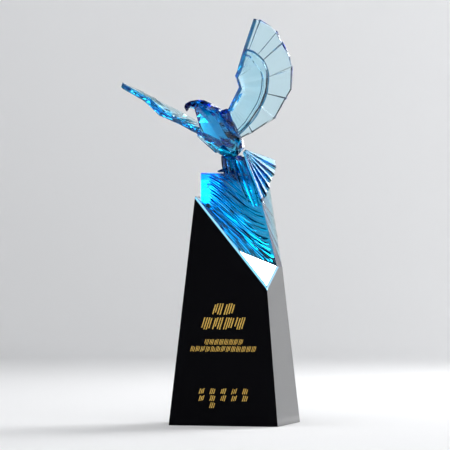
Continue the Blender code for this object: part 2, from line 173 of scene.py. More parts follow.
def newNode(tree, kind, inputs=(), **settings):
    # A node with its settings; each input is a plain value or the output of another node
    node = tree.nodes.new(kind)
    for key, value in settings.items():
        setattr(node, key, value)
    for key, value in inputs.items() if isinstance(inputs, dict) else enumerate(inputs):
        if isinstance(value, bpy.types.NodeSocket):
            tree.links.new(value, node.inputs[key])
        else:
            node.inputs[key].default_value = value
    return node


def mathNode(tree, operation, *values, clamp=False):
    # One calculation with values or outputs
    return newNode(tree, "ShaderNodeMath", values, operation=operation, use_clamp=clamp).outputs[0]


def alongNode(tree, spot, way):
    # How far the spot lies along the way: their dot product
    node = newNode(tree, "ShaderNodeVectorMath", (spot, way), operation="DOT_PRODUCT")
    return node.outputs["Value"]


def mixColours(tree, share, first, second):
    # The first colour, turning into the second as the share grows
    node = newNode(tree, "ShaderNodeMix", {"Factor": share, "A": first, "B": second},
                   data_type="RGBA")
    return node.outputs["Result"]


def objectPlace(tree):
    # The spot on the piece, in metres
    return newNode(tree, "ShaderNodeTexCoord").outputs["Object"]


def newGroup(name, inputs, outputs):
    # An empty group with named inputs, numbers or vectors, and named numbers as outputs
    group = bpy.data.node_groups.new(name, "ShaderNodeTree")
    for label, value in inputs.items():
        kind = "NodeSocketVector" if isinstance(value, tuple) else "NodeSocketFloat"
        socket = group.interface.new_socket(name=label, in_out="INPUT", socket_type=kind)
        socket.default_value = value
    for label in outputs:
        group.interface.new_socket(name=label, in_out="OUTPUT", socket_type="NodeSocketFloat")
    start, end = group.nodes.new("NodeGroupInput"), group.nodes.new("NodeGroupOutput")
    return group, start.outputs, end.inputs


def polishGroup():
    # Polished glass: a faint long swell in the surface and a slightly uneven gloss
    group, start, end = newGroup(
        "polish", {"Scale": 40.0, "Swell": 0.2, "Roughness": 0.02, "Spread": 0.02},
        ["Height", "Roughness"])
    place = objectPlace(group)
    broad = newNode(group, "ShaderNodeTexNoise",
                    {"Vector": place, "Scale": start["Scale"], "Detail": 1.0})
    fine = newNode(group, "ShaderNodeTexNoise", {"Vector": place, "Scale": polishing["grain"]})
    height = mathNode(group, "MULTIPLY", broad.outputs["Fac"], start["Swell"])
    gloss = mathNode(group, "MULTIPLY_ADD", fine.outputs["Fac"], start["Spread"],
                     start["Roughness"])
    group.links.new(height, end["Height"])
    group.links.new(gloss, end["Roughness"])
    return group


def shadeBandGroup():
    # Share of a band of painted shade: the distance past a plane over a short blur, held to 0..1
    group, start, end = newGroup(
        "shadeBand", {"Direction": (0.0, 0.0, 1.0), "Level": 0.2, "Blur": 0.004}, ["Share"])
    along = alongNode(group, objectPlace(group), start["Direction"])
    past = mathNode(group, "SUBTRACT", along, start["Level"])
    group.links.new(mathNode(group, "DIVIDE", past, start["Blur"], clamp=True), end["Share"])
    return group


polish = polishGroup()
shadeBand = shadeBandGroup()


def newMaterial(name, values):
    # A material whose shader has these values
    material = bpy.data.materials.new(name)
    material.use_nodes = True
    shader = material.node_tree.nodes["Principled BSDF"]
    for key, value in values.items():
        shader.inputs[key].default_value = value
    return material, material.node_tree, shader


def addPolish(tree, shader, settings):
    # The polish drives the shader's normal and its roughness
    effect = newNode(tree, "ShaderNodeGroup", {
        "Scale": settings["swellScale"], "Swell": settings["swell"],
        "Roughness": settings["roughness"], "Spread": settings["spread"]}, node_tree=polish)
    bump = newNode(tree, "ShaderNodeBump", {
        "Strength": settings["bump"], "Distance": polishing["lift"],
        "Height": effect.outputs["Height"]})
    tree.links.new(bump.outputs["Normal"], shader.inputs["Normal"])
    tree.links.new(effect.outputs["Roughness"], shader.inputs["Roughness"])


def clearGlass(name, settings):
    # See-through glass whose colour comes from its depth
    material, tree, shader = newMaterial(name, {
        "Base Color": (*settings["tint"], 1.0), "Metallic": 0.0, "IOR": settings["ior"],
        "Transmission Weight": 1.0})
    addPolish(tree, shader, settings)
    depth = newNode(tree, "ShaderNodeVolumeAbsorption",
                    {"Color": (*settings["deep"], 1.0), "Density": settings["density"]})
    tree.links.new(depth.outputs["Volume"], tree.nodes["Material Output"].inputs["Volume"])
    return material


def joinTint(material, tint, paintedShade, share):
    # The base colour goes from the tint to a painted dark shade as the share grows
    tree = material.node_tree
    colour = mixColours(tree, share, (*tint, 1.0), (*paintedShade, 1.0))
    tree.links.new(colour, tree.nodes["Principled BSDF"].inputs["Base Color"])


def addPaintedShade(material, settings):
    # Painted shade: a darker base colour past any of the planes, standing in for the dark of the
    # room that the cut glass gathers
    tree = material.node_tree
    shares = [
        newNode(tree, "ShaderNodeGroup", {"Direction": direction, "Level": level, "Blur": blur},
                node_tree=shadeBand).outputs["Share"]
        for direction, level, blur in settings["shadeBands"]]
    while len(shares) > 1:
        shares.append(mathNode(tree, "MAXIMUM", shares.pop(), shares.pop()))
    joinTint(material, settings["tint"], settings["paintedShade"], shares[0])


# Each band of painted shade has a direction, a level along it and a blur, the last two in metres
blueFinish = {
    "tint": (0.95, 0.985, 1.0), "ior": 1.52, "deep": (0.0, 0.84, 0.95), "density": 300.0,
    "roughness": 0.0, "spread": 0.02, "swell": 0.25, "swellScale": 60.0, "bump": 0.25,
    # the dark colour of the painted shade over the upper body
    "paintedShade": (0.05, 0.2, 0.43),
    "shadeBands": [
        ((0.0, 0.0, 1.0), 0.2915, 0.004),
        ((0.72 * math.cos(turnAngle), 0.72 * math.sin(turnAngle), 0.69), 0.186, 0.005),
    ],
}
# The rock's one band paints shade over the top of the rock and the column
rockFinish = {**blueFinish, "deep": (0.0, 0.85, 0.96), "density": 215.0,
              "paintedShade": (0.06, 0.24, 0.4), "shadeBands": [((0.0, 0.0, 1.0), 0.2265, 0.004)]}
paleFinish = {**blueFinish, "deep": (0.0, 0.75, 0.99), "density": 88.0, "bump": 0.35}
tailFinish = {**blueFinish, "deep": (0.0, 0.82, 0.95), "density": 1000.0}
blueGlass = clearGlass("blueGlass", blueFinish)
rockGlass = clearGlass("rockGlass", rockFinish)
tailGlass = clearGlass("tailGlass", tailFinish)
addPaintedShade(blueGlass, blueFinish)
addPaintedShade(rockGlass, rockFinish)


# Plinth: a leaning four-sided block of black glass cut by two slanted planes
plinth = {"width": 105.0, "depth": 86.6, "leanX": 0.0983, "leanY": 0.0721, "tip": 214.3,
          "frontCorner": 128.9, "sideHeight": 148.2, "sideY": 11.7, "topBevel": 1.7,
          "sideBevel": 1.2, "edge": 0.35}
blackFinish = {
    "ior": 1.52, "roughness": 0.03, "spread": 0.03, "swell": 0.1, "swellScale": 12.0, "bump": 0.1,
    "black": (0.004, 0.004, 0.005), "silver": (0.86, 0.93, 0.97), "bevelSilver": (0.2, 0.5, 0.72),
    "silvered": (1.9, 1.7), "flush": (0.3, 0.15),  # how far under the facet's plane they begin
}


def plinthCorner(height, right=True, front=True):
    # Spot on a corner edge: half the base less the lean of the sides up to this height
    x = plinth["width"] / 2 - plinth["leanX"] * height
    y = plinth["depth"] / 2 - plinth["leanY"] * height
    return np.array([x if right else -x, -y if front else y, height])


def planeThrough(a, b, c):
    # Unit normal away from the origin and offset of the plane through three points
    normal = unit(np.cross(np.subtract(b, a), np.subtract(c, a)))
    offset = float(normal @ np.asarray(a, float))
    return (normal, offset) if offset > 0 else (-normal, -offset)


def plinthPlanes():
    # Base, four sides, the joint under the rock, the corner facet and its two bevels
    tip = plinthCorner(plinth["tip"], right=False)
    near = plinthCorner(plinth["frontCorner"])
    side = np.array([plinthCorner(plinth["sideHeight"])[0], plinth["sideY"], plinth["sideHeight"]])
    joint = planeThrough(tip, side, side + (0.0, 20.0, 0.0))
    facet = planeThrough(tip, near, side)
    sides = []
    for sign in (1, -1):
        normal = unit((sign, 0.0, plinth["leanX"]))
        sides.append((normal, float(normal @ (sign * plinth["width"] / 2, 0, 0))))
        normal = unit((0.0, sign, plinth["leanY"]))
        sides.append((normal, float(normal @ (0, sign * plinth["depth"] / 2, 0))))
    planes = [(np.array([0.0, 0.0, -1.0]), 0.0), *sides, joint, facet]
    for other, width in ((sides[3], plinth["topBevel"]), (sides[0], plinth["sideBevel"])):
        normal = unit(other[0] + facet[0])
        half = math.acos(float(other[0] @ facet[0])) / 2
        planes.append((normal, float(normal @ near) - width * math.sin(half)))
    return planes, joint, facet


def convexFromPlanes(planes):
    # Corners where three planes meet inside all the others, then one face for each plane
    corners, faces = [], []
    for trio in itertools.combinations(planes, 3):
        rows = np.array([normal for normal, offset in trio])
        if abs(np.linalg.det(rows)) < 1e-6:
            continue
        spot = np.linalg.solve(rows, [offset for normal, offset in trio])
        inside = all(normal @ spot <= offset + 1e-6 for normal, offset in planes)
        if inside and all(np.linalg.norm(spot - other) > 1e-5 for other in corners):
            corners.append(spot)
    for normal, offset in planes:
        ring = [n for n, spot in enumerate(corners) if abs(normal @ spot - offset) < 1e-5]
        middle = np.mean([corners[n] for n in ring], axis=0)
        side = unit(np.cross(normal, (0.31, 0.77, 0.56)))
        other = np.cross(normal, side)
        ring.sort(key=lambda n: math.atan2((corners[n] - middle) @ other,
                                           (corners[n] - middle) @ side))
        faces.append(ring)
    return corners, faces


def blackGlass(facet):
    # Black glass; the cut facet in front of the rock is silvered, so it mirrors like one,
    # and the narrow bevel before it is bluer
    material, tree, shader = newMaterial("blackGlass", {"IOR": blackFinish["ior"]})
    addPolish(tree, shader, blackFinish)
    reach = alongNode(tree, objectPlace(tree), facet[0])
    silvered, flush = (
        newNode(tree, "ShaderNodeMapRange", {
            "Value": reach, "From Min": (facet[1] - blackFinish[key][0]) * layout["unit"],
            "From Max": (facet[1] - blackFinish[key][1]) * layout["unit"]}).outputs["Result"]
        for key in ("silvered", "flush"))
    black, bevelSilver, silver = (
        (*blackFinish[key], 1.0) for key in ("black", "bevelSilver", "silver"))
    colour = mixColours(tree, silvered, black, mixColours(tree, flush, bevelSilver, silver))
    tree.links.new(silvered, shader.inputs["Metallic"])
    tree.links.new(colour, shader.inputs["Base Color"])
    return material


def buildPlinth():
    # The block inside all the planes, its edges lightly broken; hands on the joint plane
    planes, joint, facet = plinthPlanes()
    points, faces = convexFromPlanes(planes)
    item = addMesh("plinth_glass", points, faces)
    addBevel(item, plinth["edge"], 12)
    item.data.materials.append(blackGlass(facet))
    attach(item, "root")
    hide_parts("plinth")
    return joint


joint = buildPlinth()
print("plinth built")


# Inscription: rows of plain slanted gold strokes where the words stand, no letters
strokes = {
    "rows": [  # height, left, right, stroke height, groups, strokes in a group
        (108.4, -12.4, 9.8, 10.4, 2, 4), (95.0, -22.6, 19.8, 11.2, 4, 4),
        (77.8, -19.4, 18.2, 5.2, 8, 3), (71.3, -33.0, 30.8, 5.2, 13, 3),
    ],
    "columns": {"left": -21.0, "step": 10.45, "cells": (2, 3, 2, 2, 2), "top": 35.4, "cell": 6.5,
                "fill": 0.8, "count": 3},
    "fill": 0.86, "share": 0.5, "shortest": 0.74, "slant": 0.3, "proud": 0.06, "sunk": 0.3,
}
gold = {"metallic": 0.3, "dull": (0.8, 0.42, 0.06), "bright": (1.0, 0.74, 0.2), "specks": 400.0,
        "roughness": 0.22, "spread": 0.12, "swell": 0.3, "swellScale": 300.0, "bump": 0.3}


def goldFinish():
    # Gold fill, speckled between a dull and a bright tone
    material, tree, shader = newMaterial("goldFill", {"Metallic": gold["metallic"]})
    addPolish(tree, shader, gold)
    speck = newNode(tree, "ShaderNodeTexNoise",
                    {"Vector": objectPlace(tree), "Scale": gold["specks"]})
    colour = newNode(tree, "ShaderNodeValToRGB", {"Fac": speck.outputs["Fac"]})
    for element, tone in zip(colour.color_ramp.elements, (gold["dull"], gold["bright"])):
        element.color = (*tone, 1.0)
    tree.links.new(colour.outputs["Color"], shader.inputs["Base Color"])
    return material


def strokeBox(x, z, width, height):
    # Thin slanted bar lying on the leaning front face
    corners = []
    for proud in (-strokes["sunk"], strokes["proud"]):
        for dx, dz in ((-1, -1), (1, -1), (1, 1), (-1, 1)):
            rise = dz * height / 2
            y = -(plinth["depth"] / 2 - plinth["leanY"] * (z + rise)) - proud
            corners.append((x + dx * width / 2 + strokes["slant"] * rise, y, z + rise))
    faces = [[0, 3, 2, 1], [4, 5, 6, 7], [0, 1, 5, 4], [1, 2, 6, 5], [2, 3, 7, 6], [3, 0, 4, 7]]
    return corners, faces


def buildStrokes():
    # Each group is a short hatch of parallel strokes, whose length and height follow a wave
    # over the stroke's number and the group's place
    cells = []
    for z, left, right, tall, groups, count in strokes["rows"]:
        step = (right - left) / groups
        cells += [(left + step * (n + 0.5), z, strokes["fill"] * step, tall, count)
                  for n in range(groups)]
    block = strokes["columns"]
    wide = block["fill"] * block["cell"]
    for n, high in enumerate(block["cells"]):
        cells += [(block["left"] + block["step"] * n, block["top"] - block["cell"] * (k + 0.5),
                   wide, wide, block["count"]) for k in range(high)]
    points, faces = [], []
    for x, z, wide, tall, count in cells:
        pitch = wide / count
        for k in range(count):
            wave = abs(math.sin(2.4 * k + 1.3 * x))
            size = tall * (strokes["shortest"] + (1 - strokes["shortest"]) * wave)
            shift = (tall - size) / 2 * math.sin(1.7 * k + x)
            corners, sides = strokeBox(
                x - wide / 2 + pitch * (k + 0.5), z + shift, strokes["share"] * pitch, size)
            faces += [[n + len(points) for n in side] for side in sides]
            points += corners
    item = addMesh("inscription_strokes", points, faces)
    item.data.materials.append(goldFinish())
    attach(item, "root")


buildStrokes()
print("strokes built")


# Rock: a leaning block whose tall faces carry rows of flowing grooves, with the fluted
# leg column and the talons growing out of it
rock = {"setback": 6.0, "inset": (0.8, 0.6), "sideGap": 0.2, "sideDepth": 20.0, "backGap": 2.0,
        "top": 236.0, "topRight": 18.7, "backRight": (31.4, 28.0), "backLean": 1.5,
        "streams": 19, "backStreams": 6, "across": 6, "steps": 70, "depth": 2.2,
        "backDepth": 0.5, "side": 0.7, "spread": 0.75, "stop": 0.92, "blend": 1.4, "sag": 1.5,
        "calm": 7.4, "wander": 0.6, "valley": 1.3, "shallow": 0.62, "fades": (0.12, 0.05),
        "smooth": 28.0}
column = {"foot": 205.0, "top": 262.0, "flutes": 14, "levels": 34, "around": 8, "press": 0.42,
          "middle": (-2.6, 0.5), "lean": 21.0, "back": 4.0, "half": (9.6, 9.4),
          "swell": (6.0, 3.8), "twist": 0.7, "sharp": 1.2, "calmer": 0.3, "bows": (1.3, 1.8)}
toes = {"count": 3, "start": -3.0, "reach": 13.5, "shorter": 1.2, "v": -2.5, "step": 5.5,
        "half": 2.1, "taper": (0.76, 1.6), "above": 3.6, "fall": 1.2, "bow": 2.4, "tall": 1.3}
seat = {"spot": np.array([-1.9, -4.0, 249.6]), "up": unit((0.1, -0.35, 1.0)),
        "cut": (60.0, 40.0)}  # where the body sits on the column, and the reach of both cuts


def jointHeight(x, y):
    # Height of the joint plane over a spot of the base
    normal, offset = joint
    return (offset - normal[0] * x - normal[1] * y) / normal[2]


def rockCorners():
    # Four corners just over the joint, and the four of the level top
    tip = plinthCorner(plinth["tip"], right=False)
    side = plinthCorner(plinth["sideHeight"])[0] - rock["sideGap"]
    left = tip[0] + rock["inset"][0] * rock["setback"]
    plan = [(left, tip[1] + rock["inset"][1] * rock["setback"]),
            (side, plinth["sideY"] + rock["sideGap"]),
            (side, plinth["sideY"] + rock["sideDepth"]), (left, -tip[1] - rock["backGap"])]
    low = turned([(x, y, jointHeight(x, y) + layout["gap"]) for x, y in plan], -turnAngle)
    share = (rock["topRight"] - low[0][0]) / (low[1][0] - low[0][0])
    lean = rock["backLean"]
    high = np.array([
        (low[0][0], low[0][1], rock["top"]),
        (rock["topRight"], low[0][1] + (low[1][1] - low[0][1]) * share, rock["top"]),
        (*rock["backRight"], rock["top"]),
        (low[3][0] + lean, low[3][1] - lean, rock["top"]),
    ])
    return low, high


def streamPatch(lowStart, lowEnd, topStart, topEnd, inward, streams, depth):
    # Grid over one tall face whose lines follow the flow: line k leaves the L-shaped edge
    # made of the start side and the top, falls along a blend of two easings and ends on the
    # other side; the streams between the lines are round and meet in sharp valleys, and the
    # glass is calm for the first few millimetres of each line
    up = (topStart - lowStart) / (topStart - lowStart)[2]
    k = np.arange(streams * rock["across"] + 1) / rock["across"]
    share = (k[:, None] / streams) ** rock["spread"]
    reached = share * streams
    turnLine = int(np.argmin(np.abs(reached - rock["side"] * streams)))
    corner = reached[turnLine, 0]
    side = np.clip(reached / corner, 0, 1)
    over = np.clip((reached - corner) / (streams - corner), 0, 1)
    start = lowStart + (topStart - lowStart) * side + (topEnd - topStart) * over
    end = lowEnd + (topEnd - lowEnd) * rock["stop"] * share
    t = np.linspace(0, 1, rock["steps"] + 1)[None, :]
    blend = np.minimum(1.0, rock["blend"] * share)
    sag = (1 - blend) * (1 - (1 - t) ** rock["sag"]) + blend * t * t * (3 - 2 * t)
    fall = (end[:, 2] - start[:, 2])[:, None]
    wobble = (rock["wander"] * np.sin(9.0 * t + 0.9 * k[:, None]) * np.sin(math.pi * t)
              * np.sin(math.pi * share))
    drop = np.minimum(1.0, 3 * share) * (sag - t) * fall + wobble
    spots = start[:, None] + (end - start)[:, None] * t[..., None] + up * drop[..., None]
    valley = (1 - np.abs(np.sin(math.pi * k)))[:, None] ** rock["valley"]
    line = np.round(k)[:, None]
    deep = rock["shallow"] + (1 - rock["shallow"]) * np.sin(6.0 * t + 2.3 * line)
    begin = rock["calm"] * (1 - 0.5 * over) / np.linalg.norm(end - start, axis=1, keepdims=True)
    rise = np.clip((t - begin) / rock["fades"][0], 0, 1)
    fade = rise * rise * (3 - 2 * rise) * np.clip((1 - t) / rock["fades"][1], 0, 1)
    press = depth * valley * deep * fade
    press[0] = press[-1] = 0.0
    press[:, 0] = press[:, -1] = 0.0
    return spots + inward * press[..., None], turnLine


def buildRock():
    # Front and back grids closed by flat faces, joined with the column and the talons and
    # cut off under the body
    low, high = rockCorners()
    slide = unit(low[2] - low[1])
    front, frontCorner = streamPatch(low[0], low[1], high[0], high[1], slide,
                                     rock["streams"], rock["depth"])
    back, backCorner = streamPatch(low[3], low[2], high[3], high[2], -slide,
                                   rock["backStreams"], rock["backDepth"])
    frontRows, width = front.shape[:2]
    backRows = back.shape[0]
    shift = frontRows * width
    points = np.concatenate([front.reshape(-1, 3), back.reshape(-1, 3)])
    faces = gridFaces(frontRows, width) + gridFaces(backRows, width, shift)

    def edge(offset, rows, along):  # one column of a grid, by its place in all the points
        return [offset + row * width + along for row in rows]

    lastFront = list(range(shift - width, shift))
    lastBack = list(range(shift + (backRows - 1) * width, shift + backRows * width))
    faces.append(edge(0, range(frontCorner + 1), 0) + edge(shift, range(backCorner + 1), 0)[::-1])
    faces.append(edge(0, range(frontCorner, frontRows), 0)
                 + edge(shift, range(backCorner, backRows), 0)[::-1])
    faces.append(edge(0, range(frontRows), width - 1) + lastFront[::-1][1:] + lastBack[:-1]
                 + edge(shift, range(backRows), width - 1)[::-1])
    faces.append(list(range(width)) + list(range(shift, shift + width))[::-1])
    item = addMesh("carved_rock", turned(points), faces)
    combine(item, buildColumn(), "UNION")
    combine(item, buildToes(), "UNION")
    combine(item, wallBox(seat["spot"], seat["up"], seat["cut"][0]), "DIFFERENCE")
    mergeFlats(item, 0.2)
    item.data.polygons.foreach_set("use_smooth", np.ones(len(item.data.polygons), bool))
    item.data.set_sharp_from_angle(angle=math.radians(rock["smooth"]))
    item.data.materials.clear()
    item.data.materials.append(rockGlass)
    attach(item, "root")
    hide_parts("rock")


def buildColumn():
    # Stack of scalloped ovals that swell and lean as they go down into the rock
    share = np.linspace(0, 1, column["levels"])
    low = 1 - share
    swell = np.sin(math.pi * low)
    ahead = np.sin(math.pi / 2 * np.minimum(1.0, column["bows"][1] * low))
    w = column["foot"] + (column["top"] - column["foot"]) * share
    middleU = column["middle"][0] + column["lean"] * low ** column["bows"][0]
    middleV = column["middle"][1] + column["back"] * ahead
    halfU = column["half"][0] + column["swell"][0] * swell
    halfV = column["half"][1] + column["swell"][1] * swell
    n = np.arange(column["flutes"] * column["around"])[None, :] / column["around"]
    angle = 2 * math.pi * (n + column["twist"] * share[:, None]) / column["flutes"]
    dip = (1 - np.abs(np.sin(math.pi * n))) ** column["sharp"]
    press = 1 - column["press"] * dip * (1 - column["calmer"] * share[:, None])
    rings = np.stack([
        middleU[:, None] + halfU[:, None] * press * np.cos(angle),
        middleV[:, None] + halfV[:, None] * press * np.sin(angle),
        w[:, None] + 0 * angle,
    ], axis=-1)
    points, faces = tubeMesh(rings)
    return addMesh("column_helper", turned(points), faces)


def buildToes():
    # Three tapering talons that bow over the top of the rock
    points, faces = [], []
    share = np.linspace(0, 1, 9)[:, None]
    angle = np.arange(10)[None, :] * math.pi / 5
    for n in range(toes["count"]):
        half = toes["half"] * (1 - toes["taper"][0] * share ** toes["taper"][1])
        u = toes["start"] - (toes["reach"] - toes["shorter"] * abs(n - 1)) * share
        w = (rock["top"] + toes["above"] - toes["fall"] * share
             + toes["bow"] * share * (1 - share))
        rings = np.stack([
            u + 0 * angle,
            toes["v"] + toes["step"] * n + half * np.cos(angle),
            w + toes["tall"] * half * np.sin(angle),
        ], axis=-1)
        more, sides = tubeMesh(rings)
        faces += [[index + len(points) for index in side] for side in sides]
        points += more.tolist()
    return addMesh("toe_helper", turned(points), faces)


def boxAt(middle, along, out, normal, half, near, far, thick):
    # Helper box: half a width to either side along, from near to far outward, and its
    # thickness shared by both sides of the normal
    spots = [middle + a * along + o * out + h * normal
             for a in (-half, half) for o in (near, far) for h in (-thick / 2, thick / 2)]
    sides = [[0, 1, 3, 2], [4, 5, 7, 6], [0, 1, 5, 4], [2, 3, 7, 6], [0, 2, 6, 4], [1, 3, 7, 5]]
    return addMesh("box_helper", turned(spots), sides)


def wallBox(spot, out, reach):
    # Large helper box whose near face passes through the spot and looks back
    out = unit(out)
    along = unit(np.cross(out, (0.2, 0.9, 0.3)))
    return boxAt(np.asarray(spot, float), along, out, np.cross(out, along), reach, 0.0, reach,
                 2 * reach)


buildRock()
print("rock carved")


# Wings: plan rows from the leading edge to the root, each with span and chord of its start,
# of the covert border and of its tip, then 1 where two feathers meet
wing = {
    "plan": [
        (57.0, -9.6, 81.1, -7.9, 111.7, -4.2, 0), (55.0, -10.2, 79.7, -3.4, 110.9, 1.2, 1),
        (54.0, -10.4, 78.0, 1.8, 104.7, 13.6, 0), (53.0, -10.6, 74.9, 6.4, 99.1, 21.2, 1),
        (51.7, -10.9, 69.3, 13.3, 87.9, 29.1, 1), (48.6, -9.0, 60.2, 19.2, 73.7, 40.0, 0),
        (45.7, -7.4, 51.3, 22.4, 62.4, 45.3, 1), (42.6, -5.8, 42.2, 23.4, 37.6, 49.8, 0),
        (39.7, -4.3, 33.6, 24.0, 28.4, 46.4, 1), (31.0, -6.7, 20.7, 21.3, 6.8, 39.2, 1),
        (22.0, -9.2, 0.7, 12.5, -8.1, 19.0, 1), (16.0, -10.9, -11.0, 3.2, -15.7, 5.7, 0),
    ],
    "inner": (5.1, 5.5, 5.7, 6.5, 8.0, 6.0, 5.4, 5.2, 5.3, 4.5, 4.0, 3.5),
    "local": (0.0, 0.07, 0.24, 0.5, 0.76, 0.93), "leading": 0.4,  # columns over one feather
    "edge": 1.8, "covert": 3.1, "feather": 1.7, "rim": 0.5, "root": 3.3, "thinnest": 0.35,
    "tilt": 0.3, "fold": 0.22, "notch": 0.45, "step": 0.6, "stepBack": (0.1, 0.2),
    "crown": (-0.05, 0.35), "crownAt": 0.22, "crownShare": 0.9, "edgeIn": 1.7, "borderIn": 1.5,
    "groove": (0.55, 0.45), "borderOut": 3.0, "tipIn": (3.4, 1.3),
    "rise": ((62.0, 42.0), (6.0, 12.0)),
}
# Painted shade along the wing edges, standing in for the dark lines that refraction draws there:
# widths and blurs in millimetres, and the spans of the curves they read
edgeShade = {"lead": (2.3, 0.8), "border": (0.95, 0.5), "centre": (40.0, -12.0),
            "span": 120.0, "chord": 40.0, "far": 60.0}
# The dark colour of each side is the painted shade along its leading edge and covert border
nearWing = {"root": (0.9, -8.0, 281.7), "span": (0.187, -0.514, 0.84),
            "chord": (0.912, 0.409, 0.047), "heel": (4.5, 1.0, 262.5), "bend": 0.0,
            "rise": 0.0, "slab": 1.8, "bevel": 0.12, "paintedShade": (0.0, 0.065, 0.17),
            "deep": (0.0, 0.77, 0.99)}
farWing = {"root": (-16.8, 6.0, 270.0), "span": (-0.86, 0.375, 0.35),
           "chord": (0.41, 0.91, 0.02), "heel": (-18.6, 8.0, 256.2), "bend": -0.0013,
           "rise": 3.2, "slab": 2.5, "bevel": 0.45, "paintedShade": (0.05, 0.4, 0.66),
           "deep": (0.0, 0.825, 0.99)}


def wingAxes(side):
    # Root, span, chord square to the span, and the normal of the wing's plane
    span = unit(side["span"])
    chord = np.asarray(side["chord"], float)
    chord = unit(chord - (chord @ span) * span)
    return np.asarray(side["root"], float), span, chord, np.cross(span, chord)


def onWing(side, s, c, h):
    # Spot on the wing: along the span, along the chord, and a lift that grows with the
    # square of the span, less a rise over the outer third of the leading edge
    root, span, chord, normal = wingAxes(side)
    (begin, long), (end, wide) = wing["rise"]
    rise = (side["rise"] * np.sin(math.pi * np.clip((s - begin) / long, 0, 1))
            * np.clip((end - c) / wide, 0, 1))
    lift = h + side["bend"] * s * np.abs(s) - rise
    return root + s[..., None] * span + c[..., None] * chord + lift[..., None] * normal


def edgeShadeGroup():
    # Share of the painted edge shade: how near a spot of the wing lies to its leading edge, read
    # from a curve over the span, or to the covert border, a curve over the angle
    nowhere = (0.0, 0.0, 0.0)
    group, start, end = newGroup(
        "wingEdgeShade", {"Root": nowhere, "Span": nowhere, "Chord": nowhere}, ["Share"])

    maths = functools.partial(mathNode, group)

    def curve(share, points):  # straight lines between the points, left to right
        node = newNode(group, "ShaderNodeFloatCurve", {"Value": share})
        line = node.mapping.curves[0]
        while len(line.points) < len(points):
            line.points.new(0.5, 0.5)
        for point, spot in zip(line.points, sorted(points)):
            point.location = spot
            point.handle_type = "VECTOR"
        node.mapping.update()
        return node.outputs[0]

    offset = newNode(group, "ShaderNodeVectorMath", (objectPlace(group), start["Root"]),
                     operation="SUBTRACT").outputs[0]
    s, c = (maths("MULTIPLY", alongNode(group, offset, start[key]), 1 / layout["unit"])
            for key in ("Span", "Chord"))
    wide, high, reach = (edgeShade[key] for key in ("span", "chord", "far"))
    plan = wing["plan"]
    lead = [(row[0], row[1]) for row in plan] + [plan[0][2:4], plan[0][4:6]]
    lead = [(along / wide, (across + high / 2) / high) for along, across in lead]
    edge = maths("MULTIPLY", curve(maths("DIVIDE", s, wide), lead), high)
    gap = maths("SUBTRACT", maths("ADD", c, high / 2), edge)
    width, blur = edgeShade["lead"]
    front = maths("DIVIDE", maths("SUBTRACT", width, gap), blur, clamp=True)
    s0, c0 = edgeShade["centre"]
    rim = [(math.atan2(row[3] - c0, row[2] - s0) / math.pi,
            math.hypot(row[3] - c0, row[2] - s0) / reach) for row in plan]
    ds, dc = maths("SUBTRACT", s, s0), maths("SUBTRACT", c, c0)
    angle = maths("DIVIDE", maths("ARCTAN2", dc, ds), math.pi)
    far = maths("POWER", maths("ADD", maths("MULTIPLY", ds, ds), maths("MULTIPLY", dc, dc)), 0.5)
    near = maths("ABSOLUTE", maths("SUBTRACT", far, maths("MULTIPLY", curve(angle, rim), reach)))
    width, blur = edgeShade["border"]
    border = maths("DIVIDE", maths("SUBTRACT", width, near), blur, clamp=True)
    group.links.new(maths("MAXIMUM", front, border), end["Share"])
    return group


wingEdgeShade = edgeShadeGroup()


def wingGlass(name, side):
    # Pale glass with painted shade along this wing's own leading edge and covert border
    material = clearGlass(name, {**paleFinish, "deep": side["deep"]})
    root, span, chord, normal = wingAxes(side)
    effect = newNode(material.node_tree, "ShaderNodeGroup", {
        "Root": turned(root) * layout["unit"], "Span": turned(span), "Chord": turned(chord)},
        node_tree=wingEdgeShade)
    joinTint(material, paleFinish["tint"], side["paintedShade"], effect.outputs["Share"])
    return material


